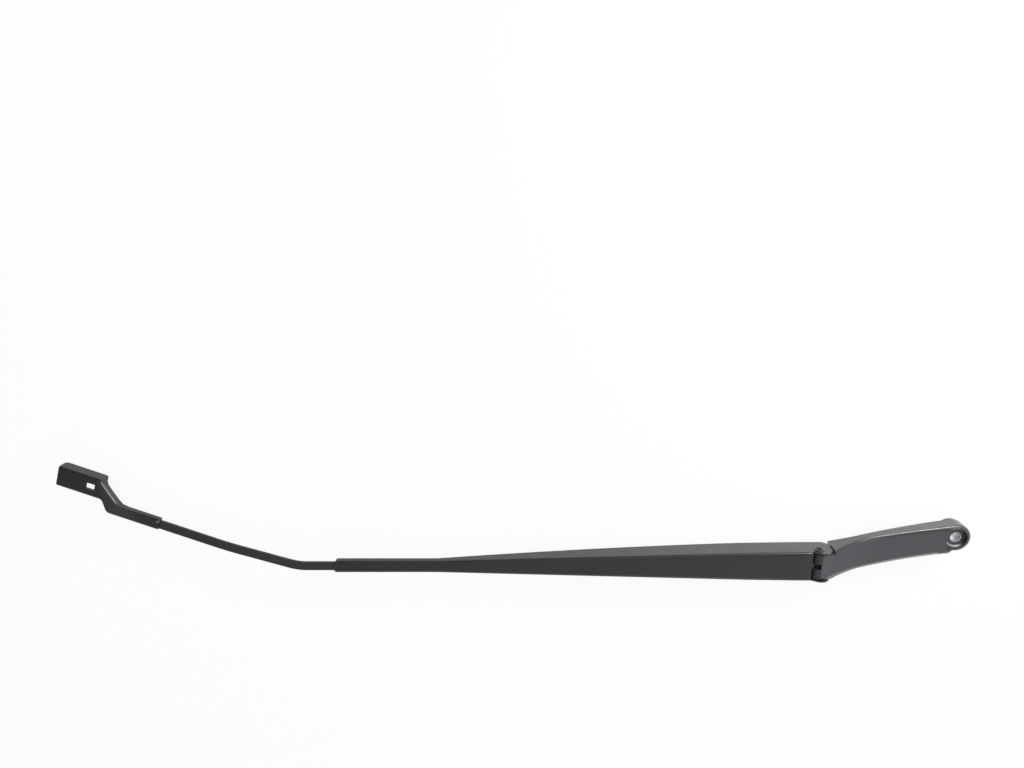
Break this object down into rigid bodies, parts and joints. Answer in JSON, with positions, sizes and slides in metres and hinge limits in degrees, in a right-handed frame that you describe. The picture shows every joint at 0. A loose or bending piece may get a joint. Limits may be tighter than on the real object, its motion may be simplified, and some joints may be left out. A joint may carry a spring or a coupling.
{
  "type": "wiper arm",
  "caption": "Front wiper arm: cast head with a spindle bore, sprung folding hinge, tapered pressed channel, bent flat rod and stamped hood for a push-button blade.",
  "frame": {"origin": "on the spindle axis, level with the underside of the boss", "axes": "+Z along the spindle axis, out of the car; the blade end lies towards -X; +Y is the side to which the blade adaptor is offset"},
  "size_m": [0.7948, 0.1044, 0.0276],
  "materials": {
    "cast_paint": "die-cast alloy with satin dark grey paint, bore left bare",
    "bush_plastic": "black engineering plastic",
    "pin_paint": "painted steel rivet",
    "pin_steel": "bare steel",
    "link_steel": "phosphated steel plate",
    "spring_steel": "zinc plated spring wire",
    "channel_paint": "satin black paint on pressed steel",
    "rod_paint": "satin black paint on flat steel bar",
    "adaptor_paint": "satin black paint on stamped steel"
  },
  "bodies": {
    "head": {"arm_head": "cast_paint", "hinge_bush_upper": "bush_plastic", "hinge_bush_lower": "bush_plastic", "anchor_pin": "pin_steel"},
    "arm": {"channel": "channel_paint", "hinge_pin": "pin_paint", "wiper_rod": "rod_paint", "blade_adaptor": "adaptor_paint"},
    "link": {"spring_link": "link_steel"},
    "spring": {"tension_spring": "spring_steel"}
  },
  "joints": [
    {"name": "lift", "type": "hinge", "parent": "head", "child": "arm", "pos_m": [-0.1165, -0.0278, 0.0115], "axis": [0, 1, 0], "range_deg": [0, 60]},
    {"name": "link_swing", "type": "hinge", "parent": "head", "child": "link", "pos_m": [-0.11136, -0.0278, 0.00537], "axis": [0, 1, 0], "range_deg": [0, 57.2]},
    {"name": "spring_swing", "type": "hinge", "parent": "arm", "child": "spring", "pos_m": [-0.25, -0.0278, 0.006], "axis": [0, 1, 0], "range_deg": [-3.4, 0]}
  ],
  "couplings": [
    {"joint": "link_swing", "follows": "lift", "ratio": 0.9493},
    {"joint": "spring_swing", "follows": "lift", "ratio": -0.0508}
  ]
}
